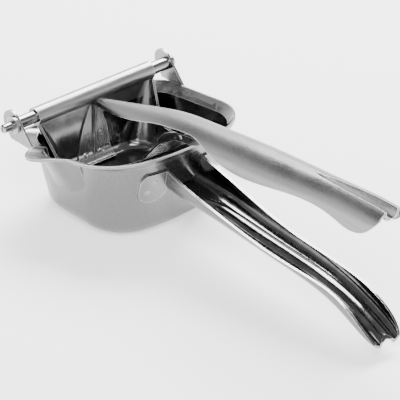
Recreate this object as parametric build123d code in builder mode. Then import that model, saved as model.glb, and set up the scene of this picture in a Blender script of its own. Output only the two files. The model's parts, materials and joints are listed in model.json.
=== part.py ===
"""Hand-held citrus press of stainless steel sheet, in millimetres.

The press stands on the flat bottom of its bowl and on the tip of its lower handle.
+X runs from the hinge to the grips, Y is the hinge axis, +Z is up, and the origin is the
middle of the bowl's flat bottom. Profiles are drawn from the hinge axis, because everything
that moves or nests is set out from there.
"""
import os
from math import cos, radians, sin, tan

from build123d import *

# Overall layout
HINGE_BACK = 38.0          # hinge axis behind the middle of the bowl's bottom
HINGE_HEIGHT = 48.5        # hinge axis above the table
SHEET = 1.2                # thickness of every pressed sheet
REACH = 300.0              # longer than the whole press, for blanks and trims

# Bowl, measured from the hinge axis
RIM_TILT = 8.4             # the rim rises toward the front, degrees
RIM_DROP = 9.3             # rim plane below the hinge axis, under the axis
RIM = dict(rear=-8.0, front=75.5, half=42.8, bow=7.0, rear_radius=22.0, front_radius=27.0)
FLOOR = dict(rear=-4.0, front=62.5, half=36.0, bow=6.0, rear_radius=24.0, front_radius=24.0)
FLOOR_EDGE = 11.0          # outside radius between the floor and the walls
FLANGE_HALF = 48.0         # outer edge of the side flanges
FLANGE_RISE = 3.6          # height over which a flange flares out
FLANGE_INNER_RISE = 2.9    # the same on the upper face
RIM_BEAD = 0.3             # the rim edge stands this far proud at the front and rear
OVERRUN = 0.5              # blanks that cut run this far past what they cut
FLANGE_REAR_RADIUS = 14.0  # the flange stays wide toward the ears
FLANGE_EDGE = 0.3          # how far the flange's upper face stops inside its edge

# Pouring lip on the left side: its edge in plan, measured from the hinge axis, rear to front
LIP_EDGE = (
    (13.4, -46.0),
    (15.4, -54.6),
    (21.5, -59.4),
    (27.5, -57.6),
    (33.0, -52.4),
    (38.0, -49.2),
    (42.0, -45.6),
)
LIP_OUTER = ((0.0, 1.0), (-1.3, 1.0), (-4.4, 0.42), (-26.0, 0.0))    # height and reach of its underside
LIP_INNER = ((0.5, 1.0), (-3.0, 0.40), (-26.0, 0.0))                 # the same for its upper face
LIP_SINK = 0.5             # its lower end lies this far inside the wall
LIP_EDGE_GAP = 0.4         # how far the upper face stops inside the edge
LIP_INSIDE = -34.0         # the lip's blank reaches this far into the bowl

# Hinge
PIN_RADIUS = 2.3
RUNNING_FIT = 0.05         # radial clearance between a shaft and its hole
BUSH_RADIUS = 3.3
EAR_SHEET = 1.2
EAR_HEAD_RADIUS = 6.3
EAR_HEAD_BACK = 3.0        # centre of the ear's round head behind the hinge axis
EAR_FOOT_FRONT = 13.0      # front of the ear's foot from the hinge axis
EAR_FOOT_DROP = 9.4        # ear's lower edge below the hinge axis
EAR_CORNER = 1.0
PIN_TAIL = 8.2             # pin beyond the left ear
PIN_CHAMFER = 0.5
PIN_HEAD_RADIUS = 3.2
PIN_HEAD_HEIGHT = 3.4
PIN_DOME = 0.8             # share of the head's radius that is rounded off
CLIP_RADIUS = 4.4
CLIP_SHEET = 1.4
CLIP_GAP = 0.3             # between the left ear and the clip
GROOVE_DEPTH = 0.5
GROOVE_PLAY = 0.1
CLIP_MOUTH = 2.0
TAIL_SLOT = 0.9
TAIL_SLOT_DEPTH = 3.0

# Press head, measured from the hinge axis: a small cup below a rolled sleeve
HEAD_HALF = 37.0           # half length of the rolled sleeve
HEAD_TOP = dict(rear=-0.6, front=56.0, half=37.0, bow=5.0, rear_radius=3.0, front_radius=22.0)
HEAD_FLOOR = dict(rear=-0.6, front=46.0, half=30.0, bow=3.0, rear_radius=20.0, front_radius=16.0)
HEAD_HANG = BUSH_RADIUS + SHEET / 4   # top of the back wall below the hinge axis, clear of the bush
HEAD_DEPTH = 38.8          # underside of the head below the hinge axis
HEAD_EDGE = 8.0
HEAD_SIDE = ((2.6, -2.0), (13.0, -19.5), (18.0, -23.4), (40.0, -24.6))
RAMP_FOOT = (28.0, -37.6)
RAMP_START = 18.0
RAMP_FOOT_RADIUS = 8.0
RAMP_TOP = (61.0, 1.5)
RAMP_RADIUS = 14.0
RAMP_HALF = 27.0
TONGUE_REST = (74.0, 9.6)
TONGUE_LEVEL = (88.0, 12.0)
TONGUE_END = (98.0, 17.4)
TONGUE_RADIUS = 12.0
TONGUE_HALF = 8.0
NECK_START = 32.0          # where the ramp starts to narrow toward the tongue
NECK_END = 52.0
WEB_TOP = ((95.0, 16.2), (84.0, 14.4), (74.0, 12.6), (66.0, 8.8), (60.0, 2.4))

# Strainer
STRAINER_SHEET = 0.8
STRAINER_FIT = 0.4         # side gap to the bowl
STRAINER_FRONT_GAP = 3.0
STRAINER_LIFT = 3.4        # floor above the bowl's floor
STRAINER_TILT = 22.0       # its rim falls toward the rear, degrees
STRAINER_SHRINK = 5.2      # its rim outline is smaller than the bowl's by this much a side
STRAINER_REAR = 5.6         # its rim stands this far ahead of the rear of the bowl's rim
STRAINER_HOLE_RADIUS = 1.4
STRAINER_PITCH = 5.6
STRAINER_ROWS = 6
STRAINER_COLUMNS = 9

# Root tab on the head's back wall, measured down from the hinge axis
TAB_START = 5.0
TAB_END = 36.5
TAB_TIP_HALF = 1.8
TAB_HALF = 10.5
TAB_SHEET = 1.0
TAB_DEPTH = 8.0            # of the block the tab is cut from, which follows the wall into its corner
RIB_END = 33.0
RIB_RADIUS = 1.5

# Handles: x, height of the closed side and half width, from the hinge axis
UPPER_STATIONS = (
    (2.0, -1.6, 2.0),
    (16.0, 2.4, 4.4),
    (30.0, 6.4, 7.2),
    (45.0, 10.8, 9.6),
    (60.0, 14.9, 11.0),
    (84.0, 19.2, 11.4),
    (120.0, 24.0, 12.0),
    (160.0, 28.2, 11.6),
    (190.0, 31.2, 10.8),
    (212.0, 33.0, 11.0),
    (226.5, 33.3, 10.0),
)
UPPER_SKIRT = (
    (0.0, -4.6),
    (25.0, 0.6),
    (45.0, 6.6),
    (60.0, 11.6),
    (75.0, 14.8),
    (92.0, 16.4),
    (101.0, 14.6),
    (112.0, 12.4),
    (146.0, 15.2),
    (180.0, 20.2),
    (194.0, 19.4),
    (206.0, 17.6),
    (218.0, 20.6),
    (225.0, 27.0),
    (229.0, 33.0),
)
LOWER_STATIONS = (
    (58.0, -21.6, 12.6),
    (85.0, -22.8, 12.3),
    (104.0, -23.8, 12.0),
    (146.0, -26.8, 11.2),
    (180.0, -29.6, 10.5),
    (196.0, -33.2, 10.3),
    (210.0, -38.4, 10.6),
    (224.0, -43.6, 9.0),
)
LOWER_EDGE = (
    (56.0, -4.0),
    (82.0, -10.8),
    (104.0, -15.2),
    (146.0, -21.2),
    (180.0, -22.6),
    (198.0, -25.0),
    (208.0, -28.8),
    (217.0, -34.0),
    (225.0, -42.0),
)
BLANK_DEPTH = 24.0         # of a handle blank before its edge is trimmed
CROWN_CORNER = 0.88        # corner radius of the upper channel over its half width
FLOOR_CORNER = 0.6         # the same for the lower channel
# Stiffening bead of each grip: x, height, half width and depth, from the hinge axis
UPPER_BEAD = (
    (164.0, 30.2, 0.5, 0.8),
    (178.0, 30.4, 1.4, 2.2),
    (196.0, 31.8, 2.8, 4.4),
    (212.0, 33.0, 3.4, 5.6),
    (234.0, 33.4, 3.8, 6.4),
)
LOWER_BEAD = (
    (84.0, -25.0, 1.0, 1.0),
    (100.0, -24.6, 3.4, 3.0),
    (146.0, -27.6, 4.2, 4.0),
    (180.0, -30.4, 4.2, 4.4),
    (196.0, -34.0, 4.2, 4.6),
    (210.0, -39.2, 4.2, 4.8),
    (234.0, -48.4, 4.0, 5.0),
)
FOOT_REACH = 26.0          # outer side of the lower handle's welded tabs
FOOT_INNER = 10.0
FOOT_HIGH = -7.0
FOOT_LOW = -25.5
FOOT_CORNER = 7.0

SIDE = Plane(origin=(-HINGE_BACK, 0, HINGE_HEIGHT), x_dir=(1, 0, 0), z_dir=(0, -1, 0))
TOP = Plane(origin=(-HINGE_BACK, 0, HINGE_HEIGHT), x_dir=(1, 0, 0), z_dir=(0, 0, 1))
FRONT = Plane(origin=(-HINGE_BACK, 0, HINGE_HEIGHT), x_dir=(0, 1, 0), z_dir=(1, 0, 0))
TABLE = Plane(origin=(-HINGE_BACK, 0, 0), x_dir=(1, 0, 0), z_dir=(0, 0, 1))


def tilted(drop, degrees):
    """A plane through a point below the hinge axis that rises toward the front."""
    lean = radians(degrees)
    return Plane(
        origin=(-HINGE_BACK, 0, HINGE_HEIGHT - drop),
        x_dir=(cos(lean), 0, sin(lean)),
        z_dir=(-sin(lean), 0, cos(lean)),
    )


RIM_PLANE = tilted(RIM_DROP, RIM_TILT)

os.makedirs("parts", exist_ok=True)


def save(part, label):
    """Label one finished piece and write it as its own STEP file."""
    part.label = label
    export_step(part, f"parts/{label}.step")


def inset(shape, gap, front_gap=None):
    """The same bowl outline, drawn a gap further in."""
    return dict(
        rear=shape["rear"] + gap,
        front=shape["front"] - (gap if front_gap is None else front_gap),
        half=shape["half"] - gap,
        bow=shape["bow"],
        rear_radius=max(shape["rear_radius"] - gap, SHEET),
        front_radius=shape["front_radius"] - gap,
    )


def bowl_outline(plane, rear, front, half, bow, rear_radius, front_radius):
    """A D-shaped outline: straight rear and sides, round corners and a bowed front."""
    with BuildSketch(plane) as outline:
        with BuildLine():
            Polyline((front - bow, -half), (rear, -half), (rear, half), (front - bow, half))
            ThreePointArc((front - bow, half), (front, 0), (front - bow, -half))
        make_face()
        fillet(outline.vertices().sort_by(Axis.X)[2:], front_radius)
        fillet(outline.vertices().sort_by(Axis.X)[:2], rear_radius)
    return outline.sketch


def cup_blank(rim, floor, rim_plane, floor_plane, edge):
    """A solid cup: ruled walls from floor to rim with a rounded bottom edge."""
    with BuildPart() as blank:
        add(bowl_outline(floor_plane, **floor))
        add(bowl_outline(rim_plane, **rim))
        loft(ruled=True)
        fillet(blank.faces().sort_by(Axis.Z)[0].edges(), edge)
    return blank.part


def plug(low_plane, low, high_plane, high):
    """A ruled solid between two bowl outlines."""
    with BuildPart() as solid:
        add(bowl_outline(low_plane, **low))
        add(bowl_outline(high_plane, **high))
        loft(ruled=True)
    return solid.part


def lip_outline(drop, reach, gap):
    """The pouring lip in plan at one height; reach is 1 at its edge and falls toward the wall."""
    wall = RIM["half"] + (RIM["half"] - FLOOR["half"]) * drop / (HINGE_HEIGHT - RIM_DROP)
    sink = LIP_SINK * (1 - reach)
    rear, *middle, front = [(x, reach * (y + RIM["half"]) + gap + sink - wall) for x, y in LIP_EDGE]
    rear = (rear[0] + gap, rear[1])
    front = (front[0] - gap, front[1])
    with BuildSketch(RIM_PLANE.offset(drop)) as outline:
        with BuildLine():
            Polyline(front, (front[0], LIP_INSIDE), (rear[0], LIP_INSIDE), rear)
            Spline(rear, *middle, front)
        make_face()
    return outline.sketch


def lip_blank(sections):
    """The pouring lip as a solid wedge that runs out on the bowl's wall."""
    with BuildPart() as wedge:
        for drop, reach, gap in sections:
            add(lip_outline(drop, reach, gap))
        loft(ruled=True)
    return wedge.part


# Bowl: outer blank, flange plug and lip, less the same three drawn one sheet further in
FLANGE = dict(
    RIM,
    rear=RIM["rear"] - RIM_BEAD,
    front=RIM["front"] + RIM_BEAD,
    half=FLANGE_HALF,
    rear_radius=FLANGE_REAR_RADIUS,
    front_radius=RIM["front_radius"] + FLANGE_HALF - RIM["half"],
)
FLANGE_INNER = dict(inset(FLANGE, SHEET), half=FLANGE_HALF - FLANGE_EDGE + OVERRUN)
cup_outer = cup_blank(RIM, FLOOR, RIM_PLANE, TABLE, FLOOR_EDGE)
cup_inner = cup_blank(inset(RIM, SHEET), inset(FLOOR, SHEET), RIM_PLANE,
                      TABLE.offset(SHEET), FLOOR_EDGE - SHEET)
flange_outer = plug(RIM_PLANE.offset(-FLANGE_RISE), inset(RIM, OVERRUN), RIM_PLANE.offset(-SHEET), FLANGE)
flange_inner = plug(RIM_PLANE.offset(-FLANGE_INNER_RISE), inset(RIM, SHEET * 2),
                    RIM_PLANE.offset(OVERRUN), FLANGE_INNER)
lip_outer = lip_blank([(drop, reach, 0.0) for drop, reach in LIP_OUTER])
lip_inner = lip_blank(
    [(drop, reach, LIP_EDGE_GAP if reach == 1 else SHEET) for drop, reach in LIP_INNER]
)
with BuildPart() as bowl:
    add(cup_outer)
    add(flange_outer)
    with BuildSketch(RIM_PLANE.offset(-SHEET)):
        add(bowl_outline(Plane.XY, **FLANGE))
    extrude(amount=SHEET)
    add(lip_outer)
    add(cup_inner, mode=Mode.SUBTRACT)
    add(flange_inner, mode=Mode.SUBTRACT)
    add(lip_inner, mode=Mode.SUBTRACT)
save(bowl.part, "bowl")

# Hinge ears: one outline, cut from sheet and welded outside the flanges
EAR_OUTER = FLANGE_HALF + EAR_SHEET
for ear_name, ear_plane in (
    ("left_hinge_ear", SIDE.offset(FLANGE_HALF)),
    ("right_hinge_ear", SIDE.offset(-EAR_OUTER)),
):
    with BuildPart() as ear:
        with BuildSketch(ear_plane):
            with Locations((-EAR_HEAD_BACK, 0)):
                Circle(EAR_HEAD_RADIUS)
            with Locations(
                (EAR_FOOT_FRONT - EAR_CORNER, EAR_CORNER - EAR_FOOT_DROP),
                (-EAR_HEAD_BACK, EAR_CORNER - EAR_FOOT_DROP),
            ):
                Circle(EAR_CORNER)
            make_hull()
            Circle(PIN_RADIUS + RUNNING_FIT, mode=Mode.SUBTRACT)
        extrude(amount=EAR_SHEET)
    save(ear.part, ear_name)

# Pin: slotted free end on the left, clip groove outside the left ear, domed head on the right
clip_near = EAR_OUTER + CLIP_GAP
clip_far = clip_near + CLIP_SHEET
tail_end = EAR_OUTER + PIN_TAIL
with BuildPart() as hinge_pin:
    with BuildSketch(SIDE.offset(-EAR_OUTER)):
        Circle(PIN_RADIUS)
    extrude(amount=EAR_OUTER + tail_end)
    chamfer(hinge_pin.faces().sort_by(Axis.Y)[0].edges(), PIN_CHAMFER)
    with BuildSketch(SIDE.offset(clip_near - GROOVE_PLAY)):
        Circle(PIN_RADIUS * 2)
        Circle(PIN_RADIUS - GROOVE_DEPTH, mode=Mode.SUBTRACT)
    extrude(amount=CLIP_SHEET + GROOVE_PLAY * 2, mode=Mode.SUBTRACT)
    with BuildSketch(SIDE.offset(tail_end)):
        Rectangle(TAIL_SLOT, PIN_RADIUS * 3)
    extrude(amount=-TAIL_SLOT_DEPTH, mode=Mode.SUBTRACT)
    with BuildSketch(SIDE.offset(-EAR_OUTER)):
        Circle(PIN_HEAD_RADIUS)
    extrude(amount=-PIN_HEAD_HEIGHT)
    fillet(hinge_pin.faces().sort_by(Axis.Y)[-1].edges(), PIN_HEAD_RADIUS * PIN_DOME)
save(hinge_pin.part, "hinge_pin")

with BuildPart() as pin_clip:
    with BuildSketch(SIDE.offset(clip_near)):
        Circle(CLIP_RADIUS)
        Circle(PIN_RADIUS - GROOVE_DEPTH + RUNNING_FIT, mode=Mode.SUBTRACT)
        with Locations((0, -CLIP_RADIUS)):
            Rectangle(CLIP_MOUTH, CLIP_RADIUS * 2, mode=Mode.SUBTRACT)
    extrude(amount=CLIP_SHEET)
save(pin_clip.part, "pin_clip")

with BuildPart() as hinge_bush:
    with BuildSketch(SIDE.offset(-FLANGE_HALF)):
        Circle(BUSH_RADIUS)
        Circle(PIN_RADIUS + RUNNING_FIT, mode=Mode.SUBTRACT)
    extrude(amount=FLANGE_HALF * 2)
save(hinge_bush.part, "hinge_bush")

# Press head: one sheet, rolled round the bush, down the back wall, under as a small cup, up the
# ramp and forward as a tongue with two upright webs that lie inside the upper handle
sleeve_inner = BUSH_RADIUS + RUNNING_FIT
sleeve_outer = sleeve_inner + SHEET
HEAD_PLANE = TOP.offset(-HEAD_HANG)
HEAD_BOTTOM = TOP.offset(-HEAD_DEPTH)
head_outer = cup_blank(HEAD_TOP, HEAD_FLOOR, HEAD_PLANE, HEAD_BOTTOM, HEAD_EDGE)
head_inner = cup_blank(inset(HEAD_TOP, SHEET), inset(HEAD_FLOOR, SHEET), HEAD_PLANE,
                       HEAD_BOTTOM.offset(SHEET), HEAD_EDGE - SHEET)
with BuildPart() as ramp:
    with BuildSketch(SIDE):
        with BuildLine():
            FilletPolyline(
                (RAMP_START, RAMP_FOOT[1]), RAMP_FOOT, RAMP_TOP, TONGUE_REST, TONGUE_LEVEL, TONGUE_END,
                radius=[RAMP_FOOT_RADIUS, RAMP_RADIUS, TONGUE_RADIUS, TONGUE_RADIUS],
            )
            offset(amount=SHEET, side=Side.RIGHT)
        make_face()
    extrude(amount=HEAD_HALF, both=True)
    with BuildSketch(TOP):
        with BuildLine():
            Line((0, RAMP_HALF), (NECK_START, RAMP_HALF))
            Spline((NECK_START, RAMP_HALF), (NECK_END, TONGUE_HALF), tangents=[(1, -0.6), (1, -0.02)])
            Polyline((NECK_END, TONGUE_HALF), (REACH, TONGUE_HALF), (REACH, 0), (0, 0), (0, RAMP_HALF))
        make_face()
        mirror(about=Plane.XZ)
    extrude(amount=REACH, both=True, mode=Mode.INTERSECT)
with BuildPart() as press_head:
    add(head_outer)
    add(head_inner, mode=Mode.SUBTRACT)
    with BuildSketch(SIDE):
        with BuildLine():
            Polyline(
                *HEAD_SIDE,
                (REACH, HEAD_SIDE[-1][1]),
                (REACH, REACH),
                (HEAD_SIDE[0][0], REACH),
                close=True,
            )
        make_face()
        with BuildLine():
            Polyline(
                RAMP_FOOT,
                RAMP_TOP,
                (REACH, RAMP_TOP[1]),
                (REACH, -REACH),
                (RAMP_FOOT[0], -REACH),
                close=True,
            )
        make_face()
    extrude(amount=REACH, both=True, mode=Mode.SUBTRACT)
    add(ramp.part)
    with BuildSketch(SIDE.offset(-HEAD_HALF)):
        Circle(sleeve_outer)
        Circle(sleeve_inner, mode=Mode.SUBTRACT)
    extrude(amount=HEAD_HALF * 2)
    for web_side in (-TONGUE_HALF, TONGUE_HALF - SHEET):
        with BuildSketch(SIDE.offset(web_side)):
            with BuildLine():
                Polyline(RAMP_TOP, TONGUE_REST, TONGUE_LEVEL, TONGUE_END, *WEB_TOP, close=True)
            make_face()
        extrude(amount=SHEET)
save(press_head.part, "press_head")

# Root tab: a leaf of sheet with a raised rib, lying on the back wall under the handle's root
wall_front = HEAD_TOP["rear"] + SHEET
TAB_PLANE = Plane(
    origin=(wall_front - HINGE_BACK, 0, HINGE_HEIGHT),
    x_dir=(0, 0, -1),
    z_dir=(1, 0, 0),
)
RIB_PLANE = Plane(
    origin=(wall_front + TAB_SHEET - HINGE_BACK, 0, HINGE_HEIGHT - TAB_START),
    x_dir=(0, 1, 0),
    z_dir=(0, 0, -1),
)
lining = SHEET + TAB_SHEET
lining_core = cup_blank(
    inset(HEAD_TOP, lining),
    inset(HEAD_FLOOR, lining),
    HEAD_PLANE,
    HEAD_BOTTOM.offset(lining),
    HEAD_EDGE - lining,
)
with BuildPart() as root_tab:
    with BuildSketch(TAB_PLANE):
        with BuildLine():
            Spline((TAB_START, TAB_TIP_HALF), (TAB_END, TAB_HALF), tangents=[(1, 0.6), (1, 0.06)])
            Polyline(
                (TAB_END, TAB_HALF),
                (TAB_END, 0),
                (TAB_START, 0),
                (TAB_START, TAB_TIP_HALF),
            )
        make_face()
        mirror(about=Plane.XZ)
    extrude(amount=TAB_DEPTH)
    add(head_inner, mode=Mode.INTERSECT)
    add(lining_core, mode=Mode.SUBTRACT)
    with BuildSketch(RIB_PLANE):
        Circle(RIB_RADIUS)
        with Locations((0, -RIB_RADIUS)):
            Rectangle(RIB_RADIUS * 2, RIB_RADIUS * 2, mode=Mode.SUBTRACT)
    extrude(amount=RIB_END - TAB_START)
save(root_tab.part, "root_tab")


def channel_outline(x, height, half, gap, up, corner):
    """One cross-section of a handle blank; up is -1 for a crown and +1 for a floor."""
    wide = half - gap
    closed = height + up * gap
    opened = closed + up * BLANK_DEPTH
    with BuildSketch(FRONT.offset(x)) as outline:
        with BuildLine():
            Polyline((-wide, opened), (-wide, closed), (wide, closed), (wide, opened), close=True)
        make_face()
        crown = outline.vertices().sort_by(Axis.Y, reverse=up < 0)[:2]
        fillet(crown, max(half * corner - gap, gap / 2))
    return outline.sketch


def channel_blank(stations, gap, up, corner):
    """A handle blank as a solid bar, drawn a gap inside the outer surface."""
    with BuildPart() as bar:
        for x, height, half in stations:
            add(channel_outline(x, height, half, gap, up, corner))
        loft()
    return bar.part


def bead_groove(stations, gap):
    """The stiffening bead of a grip as a solid round ridge along the handle."""
    with BuildPart() as ridge:
        for x, height, half, depth in stations:
            with BuildSketch(FRONT.offset(x)):
                with Locations((0, height)):
                    Ellipse(half + gap, depth + gap)
        loft()
    return ridge.part


def stretched(stations, gap):
    """The stations with the two end ones moved out, so an inner blank passes both ends."""
    first, last = stations[0], stations[-1]
    return ((first[0] - gap, *first[1:]), *stations[1:-1], (last[0] + gap, *last[1:]))


def trim_region(edge, far):
    """Everything beyond a handle's open edge, in side view."""
    with BuildPart() as waste:
        with BuildSketch(SIDE):
            with BuildLine():
                Spline(*edge)
                Polyline(
                    edge[-1],
                    (edge[-1][0] + BLANK_DEPTH, far),
                    (edge[0][0] - BLANK_DEPTH, far),
                    edge[0],
                )
            make_face()
        extrude(amount=REACH, both=True)
    return waste.part


# Upper handle: inverted channel with a sunk bead at the grip, trimmed to its skirt line
upper_outer = channel_blank(UPPER_STATIONS, 0, -1, CROWN_CORNER)
upper_core = channel_blank(stretched(UPPER_STATIONS, OVERRUN), SHEET, -1, CROWN_CORNER)
upper_inner = upper_core - bead_groove(UPPER_BEAD, SHEET)
upper_groove = bead_groove(UPPER_BEAD, 0)
upper_waste = trim_region(UPPER_SKIRT, -REACH)
with BuildPart() as upper_handle:
    add(upper_outer)
    add(upper_groove, mode=Mode.SUBTRACT)
    add(upper_inner, mode=Mode.SUBTRACT)
    add(upper_waste, mode=Mode.SUBTRACT)
    with BuildSketch(SIDE):
        Circle(sleeve_outer)
        with Locations((-REACH / 2, 0)):
            Rectangle(REACH, REACH)
    extrude(amount=REACH, both=True, mode=Mode.SUBTRACT)
save(upper_handle.part, "upper_handle")

# Lower handle: the channel the other way up, seated on the bowl's front wall by two tabs
lower_outer = channel_blank(LOWER_STATIONS, 0, 1, FLOOR_CORNER)
lower_core = channel_blank(stretched(LOWER_STATIONS, OVERRUN), SHEET, 1, FLOOR_CORNER)
lower_inner = lower_core - bead_groove(LOWER_BEAD, SHEET)
lower_groove = bead_groove(LOWER_BEAD, 0)
lower_waste = trim_region(LOWER_EDGE, REACH)
cup_grown = cup_blank(
    inset(RIM, -SHEET),
    inset(FLOOR, -SHEET),
    RIM_PLANE,
    TABLE.offset(-SHEET),
    FLOOR_EDGE + SHEET,
)
with BuildPart() as lower_handle:
    with BuildSketch(FRONT.offset(NECK_END)):
        for side in (-1, 1):
            with Locations((side * (FOOT_REACH + FOOT_INNER) / 2, (FOOT_HIGH + FOOT_LOW) / 2)):
                RectangleRounded(FOOT_REACH - FOOT_INNER, FOOT_HIGH - FOOT_LOW, FOOT_CORNER)
    extrude(amount=NECK_END)
    add(cup_grown, mode=Mode.INTERSECT)
    add(lower_outer)
    add(lower_groove, mode=Mode.SUBTRACT)
    add(lower_inner, mode=Mode.SUBTRACT)
    add(lower_waste, mode=Mode.SUBTRACT)
    add(cup_outer, mode=Mode.SUBTRACT)
save(lower_handle.part, "lower_handle")

# Strainer: a perforated cup that nests in the bowl with its rim high at the front
STRAINER_RIM = dict(
    inset(RIM, STRAINER_SHRINK + SHEET, STRAINER_FRONT_GAP + SHEET),
    rear=RIM["rear"] + STRAINER_REAR,
)
STRAINER_FLOOR = inset(FLOOR, SHEET + STRAINER_FIT, STRAINER_FRONT_GAP)
front_rise = RIM["front"] * (tan(radians(STRAINER_TILT)) - tan(radians(RIM_TILT)))
STRAINER_PLANE = tilted(RIM_DROP + front_rise, STRAINER_TILT)
strainer_floor = SHEET + STRAINER_LIFT
strainer_outer = cup_blank(
    STRAINER_RIM,
    STRAINER_FLOOR,
    STRAINER_PLANE,
    TABLE.offset(strainer_floor),
    FLOOR_EDGE - SHEET,
)
strainer_inner = cup_blank(
    inset(STRAINER_RIM, STRAINER_SHEET),
    inset(STRAINER_FLOOR, STRAINER_SHEET),
    STRAINER_PLANE,
    TABLE.offset(strainer_floor + STRAINER_SHEET),
    FLOOR_EDGE - SHEET - STRAINER_SHEET,
)
with BuildPart() as strainer:
    add(strainer_outer)
    add(strainer_inner, mode=Mode.SUBTRACT)
    with BuildSketch(Plane.XY):
        with GridLocations(STRAINER_PITCH, STRAINER_PITCH, STRAINER_ROWS, STRAINER_COLUMNS):
            Circle(STRAINER_HOLE_RADIUS)
    extrude(amount=HINGE_HEIGHT / 2, mode=Mode.SUBTRACT)
save(strainer.part, "strainer")
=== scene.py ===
"""Looks of the hand-held citrus press: steel finishes, weld marks, floor, light and camera.

Row frame: +X runs from the hinge to the grips, Y is the hinge axis and +Z is up, in metres.
Lengths that name a place on the press are millimetres times MM.
"""
import json
import math
import random

import bpy
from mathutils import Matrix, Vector
from mathutils.bvhtree import BVHTree


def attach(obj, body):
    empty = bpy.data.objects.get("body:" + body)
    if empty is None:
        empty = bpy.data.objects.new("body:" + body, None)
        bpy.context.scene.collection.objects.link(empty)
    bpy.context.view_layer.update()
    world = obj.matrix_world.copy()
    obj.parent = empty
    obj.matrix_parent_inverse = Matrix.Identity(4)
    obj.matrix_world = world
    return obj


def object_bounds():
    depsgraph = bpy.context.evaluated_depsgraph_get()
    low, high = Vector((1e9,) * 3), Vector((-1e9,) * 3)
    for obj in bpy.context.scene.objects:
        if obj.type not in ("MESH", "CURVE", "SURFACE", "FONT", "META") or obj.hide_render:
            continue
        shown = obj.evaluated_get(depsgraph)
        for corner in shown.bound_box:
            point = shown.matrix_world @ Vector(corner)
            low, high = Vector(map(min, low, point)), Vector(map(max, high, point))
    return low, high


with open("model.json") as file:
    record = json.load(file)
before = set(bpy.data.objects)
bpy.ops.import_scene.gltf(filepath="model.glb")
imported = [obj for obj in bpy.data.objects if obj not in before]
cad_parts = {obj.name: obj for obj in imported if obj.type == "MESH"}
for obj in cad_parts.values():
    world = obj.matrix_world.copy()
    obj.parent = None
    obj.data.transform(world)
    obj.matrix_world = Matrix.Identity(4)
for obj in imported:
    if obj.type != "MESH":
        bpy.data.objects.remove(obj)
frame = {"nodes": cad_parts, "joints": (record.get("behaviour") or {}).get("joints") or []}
cad_low, cad_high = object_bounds()
nodes = frame["nodes"]

MM = 0.001
HINGE = Vector(frame["joints"][0]["pos_m"])   # on the press's one hinge axis


def at(x, y, z):
    """A point of the row frame, given in millimetres from the hinge axis."""
    return HINGE + Vector((x, y, z)) * MM


# Shader building blocks
EDGE_HIGHLIGHT = (0.95, 0.95, 0.96, 1.0)      # painted highlight on the corners of satin steel
RIM_HIGHLIGHT = (0.97, 0.97, 0.98, 1.0)       # painted highlight on the corners of mirror steel
EDGE_RADIUS = 0.5 * MM                     # width of a corner that takes the painted highlight
EDGE_GLOSS = 0.38                          # roughness on such a corner
SATIN_GLOSS = 0.34                         # roughness where mirror steel was left satin
SHEEN_TONE = (0.26, 0.34)                  # painted reflection: the lighter grey of the satin band, its darkest and lightest
NOISE_SPAN = (0.3, 0.7)                    # where most of a noise's values lie


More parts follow.
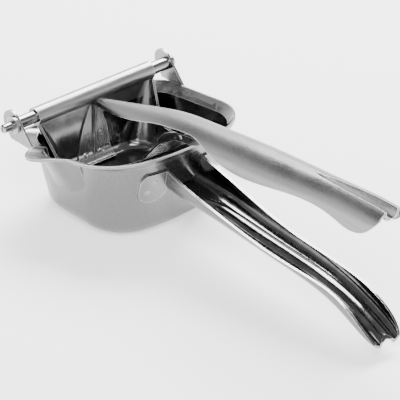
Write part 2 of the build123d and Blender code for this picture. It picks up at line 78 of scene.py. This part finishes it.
class Shader:
    """A material's node tree with short calls for the nodes used here."""

    def __init__(self, name):
        self.material = bpy.data.materials.new(name)
        self.material.use_nodes = True
        self.tree = self.material.node_tree
        self.tree.nodes.clear()
        self.coords = self.tree.nodes.new("ShaderNodeTexCoord").outputs["Object"]

    def put(self, socket, value):
        """Set a socket to a value or link an output to it."""
        if isinstance(value, bpy.types.NodeSocket):
            self.tree.links.new(value, socket)
        elif value is not None:
            socket.default_value = value

    def node(self, kind, *values, **settings):
        """Add a node, with settings by name and its first sockets in order."""
        made = self.tree.nodes.new(kind)
        for key, value in settings.items():
            setattr(made, key, value)
        for index, value in enumerate(values):
            self.put(made.inputs[index], value)
        return made

    def math(self, operation, *values):
        return self.node("ShaderNodeMath", *values, operation=operation).outputs[0]

    def axis(self, letter):
        """One object coordinate in metres."""
        return self.node("ShaderNodeSeparateXYZ", self.coords).outputs["XYZ".index(letter)]

    def stretched_noise(self, stretch, detail, rough, distort=0.0):
        """Noise whose features are about 1/stretch metres long along each axis."""
        mapped = self.node("ShaderNodeMapping", self.coords)
        mapped.inputs["Scale"].default_value = stretch
        noise = self.node("ShaderNodeTexNoise")
        self.put(noise.inputs["Vector"], mapped.outputs[0])
        noise.inputs["Scale"].default_value = 1.0
        noise.inputs["Detail"].default_value = detail
        noise.inputs["Roughness"].default_value = rough
        noise.inputs["Distortion"].default_value = distort
        return noise.outputs[0]

    def spread(self, value, low, high, to_low, to_high):
        """Map a range of a value onto another range, clamped."""
        made = self.node("ShaderNodeMapRange", value, low, high, to_low, to_high)
        made.clamp = True
        return made.outputs[0]

    def grey(self, value):
        """A grey colour from a number."""
        made = self.node("ShaderNodeCombineColor")
        for channel in range(3):
            self.put(made.inputs[channel], value)
        return made.outputs[0]

    def mix_colour(self, share, first, second):
        """The first colour at share 0, the second at share 1."""
        made = self.node("ShaderNodeMix", data_type="RGBA")
        self.put(made.inputs[0], share)
        self.put(made.inputs[6], first)
        self.put(made.inputs[7], second)
        return made.outputs[2]

    def mix_value(self, share, first, second):
        """The first number at share 0, the second at share 1."""
        made = self.node("ShaderNodeMix", data_type="FLOAT")
        self.put(made.inputs[0], share)
        self.put(made.inputs[2], first)
        self.put(made.inputs[3], second)
        return made.outputs[0]

    def edges(self, radius):
        """1 at the corners of a sheet and 0 on its faces; it places the painted corner highlights."""
        bevel = self.node("ShaderNodeBevel", samples=4)
        bevel.inputs["Radius"].default_value = radius
        flat = self.node("ShaderNodeNewGeometry").outputs["Normal"]
        dot = self.node("ShaderNodeVectorMath", bevel.outputs[0], flat, operation="DOT_PRODUCT")
        return self.spread(dot.outputs["Value"], 0.80, 0.97, 1.0, 0.0)

    def hollow_shade(self, reach):
        """1 in the open, falling toward 0 where other steel is within reach; used to paint shade into
        the colour of creases and of places under parts.
        """
        shade = self.node("ShaderNodeAmbientOcclusion", samples=4)
        shade.inputs["Distance"].default_value = reach
        return shade.outputs["AO"]

    def metal(self, colour, roughness, height, strength, distance):
        """Finish the tree as metal with a bump."""
        shader = self.node("ShaderNodeBsdfPrincipled")
        shader.inputs["Metallic"].default_value = 1.0
        self.put(shader.inputs["Base Color"], colour)
        self.put(shader.inputs["Roughness"], roughness)
        bump = self.node("ShaderNodeBump")
        bump.inputs["Strength"].default_value = strength
        bump.inputs["Distance"].default_value = distance
        self.put(bump.inputs["Height"], height)
        self.put(shader.inputs["Normal"], bump.outputs[0])
        output = self.node("ShaderNodeOutputMaterial")
        self.put(output.inputs["Surface"], shader.outputs[0])
        return self.material


def grain(along, across, lengthwise):
    """How much a noise is squeezed on each axis, so that its lines run along one of them."""
    return [lengthwise if letter == along else across for letter in "XYZ"]


def brushed(name, along, tone, rough):
    """Satin steel with fine scratches along one axis, smudges, and painted highlights on its corners."""
    sh = Shader(name)
    scratch = sh.stretched_noise(grain(along, 4200.0, 60.0), 3.0, 0.65)
    band = sh.stretched_noise(grain(along, 1500.0, 30.0), 2.0, 0.5)
    cloud = sh.stretched_noise((38.0, 38.0, 38.0), 2.0, 0.5)
    edge = sh.edges(EDGE_RADIUS)
    band_tone = sh.spread(band, *NOISE_SPAN, tone * 0.95, tone * 1.05)
    scratch_tone = sh.spread(scratch, *NOISE_SPAN, tone * -0.07, tone * 0.07)
    shade = sh.math("ADD", band_tone, scratch_tone)
    # painted shade: the grey darkens where other steel is near, in creases, corners and under parts
    shaded_tone = sh.math("MULTIPLY", shade, sh.spread(sh.hollow_shade(2.2 * MM), 0.1, 0.75, 0.35, 1.0))
    # painted highlight: the sheet's corners take a near-white colour
    colour = sh.mix_colour(edge, sh.grey(shaded_tone), EDGE_HIGHLIGHT)
    scratch_gloss = sh.spread(scratch, *NOISE_SPAN, rough - 0.06, rough + 0.10)
    gloss = sh.math("ADD", scratch_gloss, sh.spread(cloud, 0.35, 0.65, -0.04, 0.06))
    gloss = sh.mix_value(edge, gloss, EDGE_GLOSS)
    height = sh.math("ADD", scratch, sh.math("MULTIPLY", band, 0.4))
    return sh.metal(colour, gloss, height, 0.16, 0.04 * MM)


def polished(name, along, tone, rough, wave, satin_and_sheen=None):
    """Mirror steel with faint polishing lines, slow ripples of pressed sheet, and painted highlights on
    its corners.

    The last argument, if given, makes a mask of where the sheet was left satin; there the grey is also
    painted lighter, a painted reflection.
    """
    sh = Shader(name)
    lines = sh.stretched_noise(grain(along, 2600.0, 90.0), 2.0, 0.6)
    ripple = sh.stretched_noise(grain(along, 70.0, 22.0), 1.0, 0.4, 0.3)
    cloud = sh.stretched_noise((60.0, 60.0, 60.0), 3.0, 0.6)
    edge = sh.edges(EDGE_RADIUS)
    shade = sh.spread(cloud, *NOISE_SPAN, tone - 0.05, tone + 0.05)
    # painted shade: the grey darkens where other steel is near, in creases, corners and under parts
    shaded_tone = sh.math("MULTIPLY", shade, sh.spread(sh.hollow_shade(4.0 * MM), 0.1, 0.7, 0.4, 1.0))
    # painted highlight: the sheet's corners take a near-white colour
    colour = sh.mix_colour(edge, sh.grey(shaded_tone), RIM_HIGHLIGHT)
    cloud_gloss = sh.spread(cloud, 0.35, 0.7, rough - 0.02, rough + 0.05)
    gloss = sh.math("ADD", cloud_gloss, sh.spread(lines, 0.4, 0.7, 0.0, 0.05))
    gloss = sh.mix_value(edge, gloss, EDGE_GLOSS)
    if satin_and_sheen:
        mask = satin_and_sheen(sh)
        # painted reflection: the satin band takes a lighter grey than the mirror steel around it
        colour = sh.mix_colour(mask, colour, sh.grey(sh.spread(lines, *NOISE_SPAN, *SHEEN_TONE)))
        gloss = sh.mix_value(mask, gloss, SATIN_GLOSS)
    height = sh.math("ADD", sh.math("MULTIPLY", ripple, 18.0 * wave), sh.math("MULTIPLY", lines, 0.4))
    return sh.metal(colour, gloss, height, 0.25, 0.10 * MM)


BAND_BOTTOM = 12.6 * MM                    # below the hinge axis
BAND_BLUR = 0.3 * MM                       # half the height over which the band's foot fades
BAND_SIDE = (3.0 * MM, 6.0 * MM)           # y over which the band fades in beside the handle
WALL_FRONT = (1.2 * MM, 2.2 * MM)          # x off the hinge axis over which it fades out


def back_band(sh):
    """1 on the upper band of the head's back wall, at the handle's +Y side, and 0 elsewhere; there the
    wall is satin and painted a lighter grey, a painted reflection.
    """
    foot = HINGE.z - BAND_BOTTOM
    above = sh.spread(sh.axis("Z"), foot - BAND_BLUR, foot + BAND_BLUR, 0.0, 1.0)
    beside = sh.spread(sh.axis("Y"), *BAND_SIDE, 0.0, 1.0)
    wall_start, wall_end = (HINGE.x + off for off in WALL_FRONT)
    wall = sh.spread(sh.axis("X"), wall_start, wall_end, 1.0, 0.0)
    return sh.math("MULTIPLY", sh.math("MULTIPLY", above, beside), wall)


# Finishes: name, the axis that the lines run along, grey tone, roughness, and for mirror steel
# the strength of its ripples and a mask of what was left satin and given a painted reflection
handle_outside = brushed("handle_brushed", "X", 0.22, 0.28)
handle_inside = polished("handle_polished", "X", 0.15, 0.07, 0.7)
bowl_outside = brushed("bowl_brushed", "Z", 0.20, 0.28)
bowl_inside = polished("bowl_polished", "Z", 0.20, 0.14, 0.6)
head_polished = polished("head_polished", "Z", 0.17, 0.14, 0.35, back_band)
sleeve_brushed = brushed("sleeve_brushed", "Y", 0.28, 0.34)
ear_brushed = brushed("ear_brushed", "Z", 0.24, 0.26)
strainer_steel = polished("strainer_polished", "Z", 0.50, 0.20, 0.4)
turned = polished("turned_polished", "Y", 0.25, 0.14, 0.2)
tab_steel = brushed("tab_brushed", "Z", 0.30, 0.24)
clip_steel = brushed("clip_brushed", "Y", 0.28, 0.24)
weld_steel = brushed("weld_brushed", "X", 0.32, 0.25)


def finish_node(name, materials, choose=None):
    """Give a CAD node its finishes; choose(centre, normal) says which finish a face takes."""
    obj = nodes[name]
    obj.data.materials.clear()
    for material in materials:
        obj.data.materials.append(material)
    for face in obj.data.polygons:
        face.material_index = choose(face.center, face.normal) if choose else 0


def inner(middle):
    """A chooser for a channel: 0 outside and 1 inside, judged against middle(centre)."""
    def choose(centre, normal):
        return 1 if normal.dot(middle(centre) - centre) > 0 else 0
    return choose


def mid_line(points):
    """The middle of a handle's inside at a face's x, from points in millimetres off the hinge axis."""
    line = [at(x, 0, z) for x, z in points]

    def middle(centre):
        for first, second in zip(line, line[1:]):
            if centre.x <= second.x:
                share = (centre.x - first.x) / (second.x - first.x)
                return Vector((centre.x, 0.0, first.z + (second.z - first.z) * max(0.0, share)))
        return Vector((centre.x, 0.0, line[-1].z))
    return middle


UPPER_MIDDLE = mid_line(((0, -8), (45, 4), (84, 10), (120, 14), (190, 21), (231, 22)))
LOWER_MIDDLE = mid_line(((56, -11), (104, -14), (146, -17), (180, -19), (210, -28), (231, -35)))
BOWL_HALF = 43.5 * MM                      # faces further out are on the side flanges,
FLANGE_FOOT = 26.0 * MM                    # if they are also above this height
ABOVE_BOWL = Vector((0.0, 0.0, 60.0 * MM))  # a point that only the inside of the bowl faces
SLEEVE_REACH = 5.2 * MM                    # just outside the sleeve rolled round the bush


def bowl_face(centre, normal):
    """1 inside the bowl, 0 outside and on the flanges."""
    if abs(centre.y) > BOWL_HALF and centre.z > FLANGE_FOOT:
        return 0
    return 1 if normal.dot(ABOVE_BOWL - centre) > 0 else 0


def sleeve_face(centre, normal):
    """1 on the outside of the head's sleeve, 0 on the rest of the head."""
    off = Vector((centre.x, 0.0, centre.z)) - HINGE
    return 1 if off.length < SLEEVE_REACH and normal.dot(off) > 0 else 0


finish_node("bowl", (bowl_outside, bowl_inside), bowl_face)
finish_node("upper_handle", (handle_outside, handle_inside), inner(UPPER_MIDDLE))
finish_node("lower_handle", (handle_outside, handle_inside), inner(LOWER_MIDDLE))
finish_node("press_head", (head_polished, sleeve_brushed), sleeve_face)
finish_node("left_hinge_ear", (ear_brushed,))
finish_node("right_hinge_ear", (ear_brushed,))
finish_node("strainer", (strainer_steel,))
finish_node("hinge_pin", (turned,))
finish_node("hinge_bush", (turned,))
finish_node("pin_clip", (clip_steel,))
finish_node("root_tab", (tab_steel,))

# Weld marks: shallow craters and buttons where the sheets were joined. A profile lists radius and
# height in millimetres from the middle out, and ends just under the sheet. Places are given in
# millimetres from the hinge axis, and a ray finds the sheet there.
random.seed(7)
RING = ((0.0, 0.08), (0.45, 0.02), (0.75, 0.10), (0.95, 0.34), (1.2, 0.34), (1.45, 0.12), (1.65, -0.15))
BUTTON = ((0.0, 0.22), (0.6, 0.26), (1.1, 0.16), (1.6, -0.02), (1.9, -0.15))
TURNS = 36                                 # points round a mark
UNEVEN_RADIUS = 0.05                       # how far a point may stray, as a share of its radius
UNEVEN_HEIGHT = 0.12                       # the same for its height
TAB_WELDS = ((-4.7, -21.5), (4.4, -23.5), (-5.6, -32.6), (4.2, -33.0))         # y and z
TAB_SIGHT = 12.0                           # x from which the ray looks back at the root tab
HANDLE_WELDS = ((-15.5, -13.5), (-20.0, -19.0), (15.5, -13.5), (20.0, -19.0))  # y and z
HANDLE_WELD_X = 66.0
FACING_X, FACING_Y = 0.86, 0.5             # the way that the lower handle's tabs face
RAY_LENGTH = 50 * MM                       # from the ray's start to about the tab
TONGUE_WELD_X, TONGUE_WELD_Z = 78.0, 11.4
TONGUE_SIGHT = 30.0                        # distance to the side from which the ray looks


def surface(node, start, direction):
    """Where a ray from start meets a CAD node, and the node's normal there."""
    mesh = nodes[node].data
    tree = BVHTree.FromPolygons([v.co for v in mesh.vertices], [face.vertices for face in mesh.polygons])
    spot, normal, _, _ = tree.ray_cast(start, direction.normalized())
    return spot, normal


def weld(name, body, spot, normal, profile, size=1.0):
    """A round weld mark from a profile of radius and height in millimetres, slightly uneven."""
    verts, faces = [], []
    for radius, height in profile:
        for turn in range(TURNS):
            angle = 2 * math.pi * turn / TURNS
            uneven = 1 + random.uniform(-UNEVEN_RADIUS, UNEVEN_RADIUS)
            verts.append((
                radius * size * uneven * math.cos(angle) * MM,
                radius * size * uneven * math.sin(angle) * MM,
                height * size * (1 + random.uniform(-UNEVEN_HEIGHT, UNEVEN_HEIGHT)) * MM,
            ))
    for ring in range(len(profile) - 1):
        for turn in range(TURNS):
            near, far = ring * TURNS + turn, ring * TURNS + (turn + 1) % TURNS
            faces.append((near, near + TURNS, far + TURNS, far))
    mesh = bpy.data.meshes.new(name)
    mesh.from_pydata(verts, [], faces)
    mesh.polygons.foreach_set("use_smooth", [True] * len(mesh.polygons))
    mesh.materials.append(weld_steel)
    obj = bpy.data.objects.new(name, mesh)
    bpy.context.collection.objects.link(obj)
    obj.location = spot
    obj.rotation_mode = "QUATERNION"
    obj.rotation_quaternion = normal.to_track_quat("Z", "Y")
    bpy.context.view_layer.update()
    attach(obj, body)
    return obj


for count, (y, z) in enumerate(TAB_WELDS, 1):
    spot, normal = surface("root_tab", at(TAB_SIGHT, y, z), Vector((-1.0, 0.0, 0.0)))
    weld(f"tab_weld_{count}", "press", spot, normal, RING)
for count, (y, z) in enumerate(HANDLE_WELDS, 1):
    outward = Vector((FACING_X, math.copysign(FACING_Y, y), 0.0))
    spot, normal = surface("lower_handle", at(HANDLE_WELD_X, y, z) + outward * RAY_LENGTH, -outward)
    weld(f"handle_weld_{count}", "base", spot, normal, BUTTON, 0.9)
for count, side in enumerate((-1.0, 1.0), 1):
    start = at(TONGUE_WELD_X, side * TONGUE_SIGHT, TONGUE_WELD_Z)
    spot, normal = surface("press_head", start, Vector((0.0, -side, 0.0)))
    weld(f"tongue_weld_{count}", "press", spot, normal, BUTTON, 0.8)

# Floor, light and camera
HORIZON_TOP = 0.16         # sine of the height up to which the studio's walls are lit
CEILING = 0.62             # sine of the height from which its ceiling is dim
HORIZON_LIGHT = 2.2
CEILING_LIGHT = 0.45
WHITE = (1.0, 1.0, 1.0, 1.0)
PAPER_WHITE = (0.92, 0.92, 0.92, 1.0)
PAPER_ROUGH = 0.9
FLOOR_GLOW = 0.9           # the floor's own light, which hides most of the shadow
FLOOR_SIZE = 40.0
FLOOR_DROP = 0.2 * MM      # the floor lies this far below the bowl
bpy.ops.mesh.primitive_plane_add(size=FLOOR_SIZE, location=(0, 0, cad_low.z - FLOOR_DROP))
floor = bpy.context.object
floor.name = "floor"
floor_shader = Shader("floor_paper")
paper = floor_shader.node("ShaderNodeBsdfPrincipled")
paper.inputs["Base Color"].default_value = PAPER_WHITE
paper.inputs["Roughness"].default_value = PAPER_ROUGH
paper.inputs["Emission Color"].default_value = WHITE
paper.inputs["Emission Strength"].default_value = FLOOR_GLOW
floor_out = floor_shader.node("ShaderNodeOutputMaterial")
floor_shader.put(floor_out.inputs["Surface"], paper.outputs[0])
floor.data.materials.append(floor_shader.material)

world = bpy.data.worlds.new("studio")
bpy.context.scene.world = world
world.use_nodes = True
sky = world.node_tree
sky_height = sky.nodes.new("ShaderNodeSeparateXYZ")
sky.links.new(sky.nodes.new("ShaderNodeTexCoord").outputs["Generated"], sky_height.inputs[0])
sky_fade = sky.nodes.new("ShaderNodeMapRange")
sky_fade.interpolation_type = "SMOOTHSTEP"
sky_range = (HORIZON_TOP, CEILING, HORIZON_LIGHT, CEILING_LIGHT)
for socket, value in zip(list(sky_fade.inputs)[1:5], sky_range):
    socket.default_value = value
sky.links.new(sky_height.outputs["Z"], sky_fade.inputs[0])
sky.nodes["Background"].inputs[0].default_value = WHITE
sky.links.new(sky_fade.outputs[0], sky.nodes["Background"].inputs[1])


def softbox(name, spot, size, power):
    """A square area light aimed at the bowl."""
    light = bpy.data.lights.new(name, "AREA")
    light.size = size
    light.energy = power
    lamp = bpy.data.objects.new(name, light)
    bpy.context.collection.objects.link(lamp)
    lamp.location = spot
    lamp.rotation_euler = (BOWL_FRONT - Vector(spot)).to_track_quat("-Z", "Y").to_euler()


BOWL_FRONT = Vector((0.03, 0.0, 0.02))
softbox("key", (-0.5, 0.8, 1.1), 0.9, 70)
softbox("fill", (0.9, -0.7, 1.3), 0.7, 30)

# A long lens far away, since the photograph shows almost no perspective
AZIMUTH, ELEVATION = math.radians(50.0), math.radians(30.0)
LENS = 800.0
WIDTH = 0.197              # how much of the scene the picture spans at the middle of the press
VIEW_MIDDLE = at(83.5, 0.0, -24.5)
CLIP_START, CLIP_END = 0.1, 50.0
back = Vector((
    math.sin(AZIMUTH) * math.cos(ELEVATION),
    -math.cos(AZIMUTH) * math.cos(ELEVATION),
    math.sin(ELEVATION),
))
camera_data = bpy.data.cameras.new("camera")
camera_data.lens = LENS
camera = bpy.data.objects.new("camera", camera_data)
bpy.context.collection.objects.link(camera)
distance = WIDTH * LENS / camera_data.sensor_width
camera.location = VIEW_MIDDLE + back * distance
camera.rotation_mode = "QUATERNION"
camera.rotation_quaternion = (-back).to_track_quat("-Z", "Y")
camera_data.clip_start = CLIP_START
camera_data.clip_end = CLIP_END
bpy.context.scene.camera = camera
